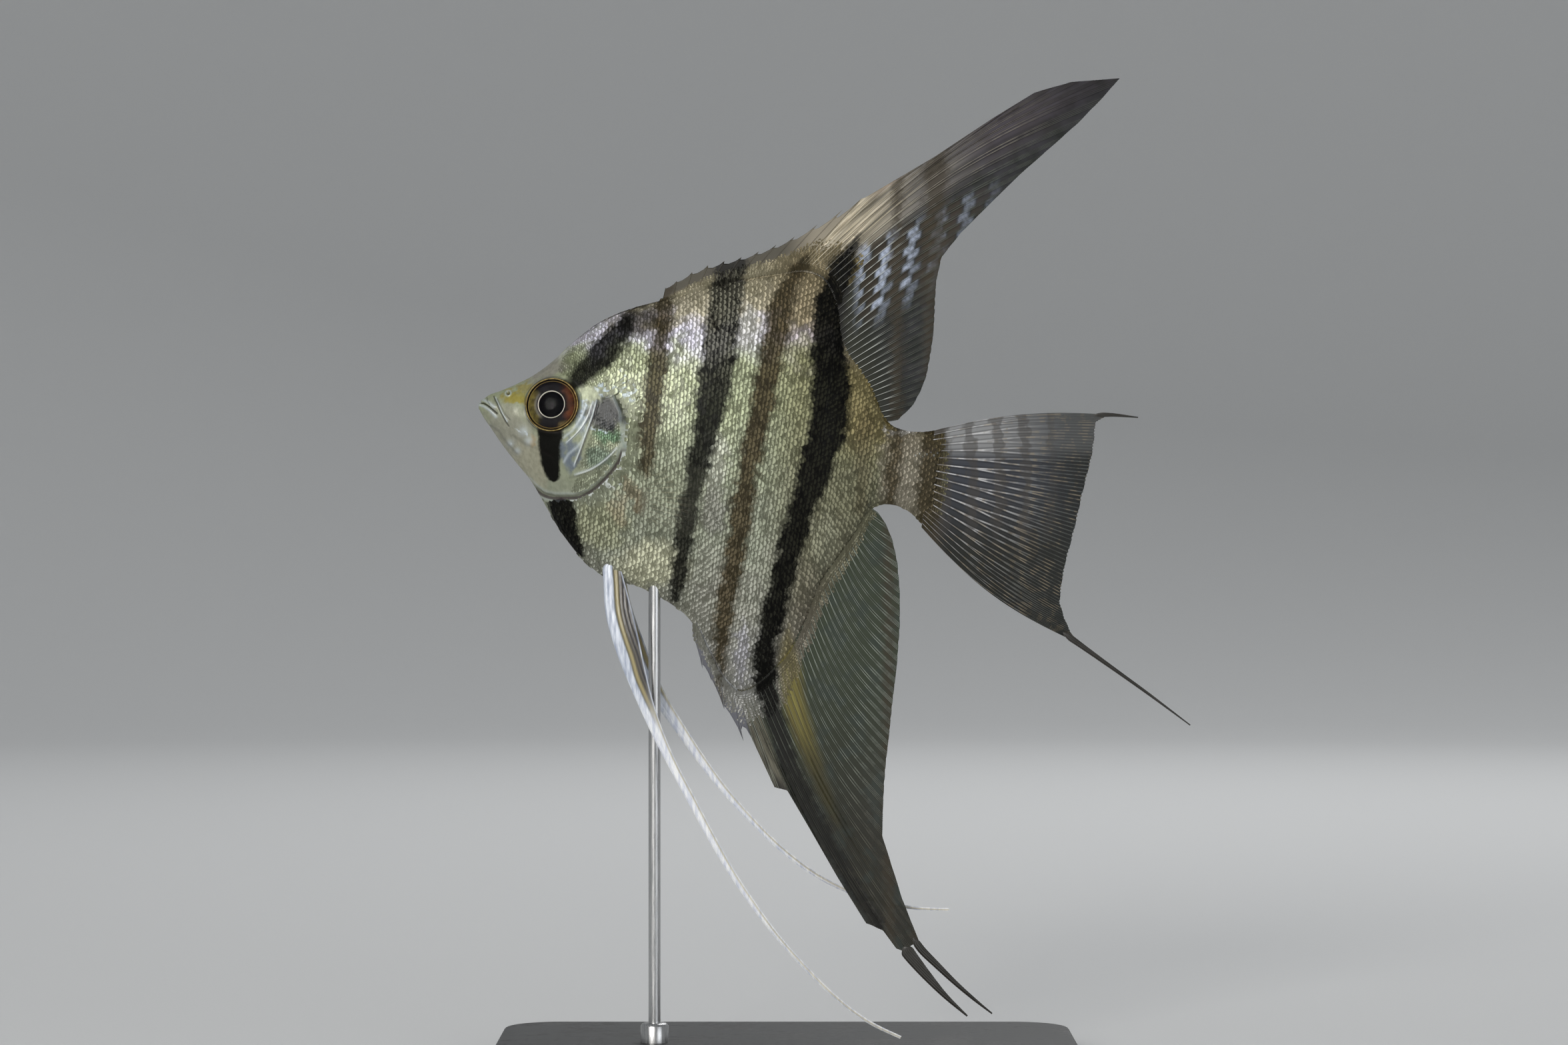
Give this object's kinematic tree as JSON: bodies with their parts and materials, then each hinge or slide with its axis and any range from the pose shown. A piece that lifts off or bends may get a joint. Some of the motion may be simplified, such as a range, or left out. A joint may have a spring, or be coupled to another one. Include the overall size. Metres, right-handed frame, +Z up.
{
  "type": "freshwater angelfish",
  "caption": "Life-size still model of a tall, flat freshwater angelfish with dark bars, long trailing fins and thread-like pelvic fins, held by a rod on a flat base.",
  "frame": {"origin": "middle of the underside of the stand's base, on the surface that it stands on", "axes": "+Z up, -X the way the fish faces, -Y its left side"},
  "size_m": [0.1178, 0.06, 0.1631],
  "materials": {
    "skin_silver": "silvery scaled skin with dark bars, semi-gloss",
    "cheek_silver": "silver and green metallic gill plate, glossy",
    "jaw_grey": "smooth grey skin, satin",
    "eye_dark": "black eye with a bronze ring, wet gloss",
    "fin_dusky": "dark olive-grey fin membrane with pale rays, satin",
    "fin_tail": "blue-grey fin membrane with pale rays, satin",
    "fin_clear": "nearly clear fin membrane with fine rays",
    "pelvic_white": "opaque white fin ray, satin",
    "stand_black": "satin black paint",
    "stand_steel": "brushed steel"
  },
  "bodies": {
    "root": {"head": "skin_silver", "lower_jaw": "jaw_grey", "gill_cover_left": "cheek_silver", "gill_cover_right": "cheek_silver", "trunk": "skin_silver", "tail_stem": "skin_silver", "eye_left": "eye_dark", "eye_right": "eye_dark", "dorsal_spines": "fin_dusky", "dorsal_fin": "fin_dusky", "anal_spines": "fin_dusky", "anal_fin": "fin_dusky", "anal_streamer_front": "fin_dusky", "anal_streamer_rear": "fin_dusky", "caudal_fin": "fin_tail", "caudal_streamer_upper": "fin_tail", "caudal_streamer_lower": "fin_tail", "pectoral_fin_left": "fin_clear", "pectoral_fin_right": "fin_clear", "pelvic_fin_left": "pelvic_white", "pelvic_fin_right": "pelvic_white", "pelvic_streamer_left": "pelvic_white", "pelvic_streamer_right": "pelvic_white", "stand_base": "stand_black", "stand_rod": "stand_steel"}
  },
  "joints": []
}
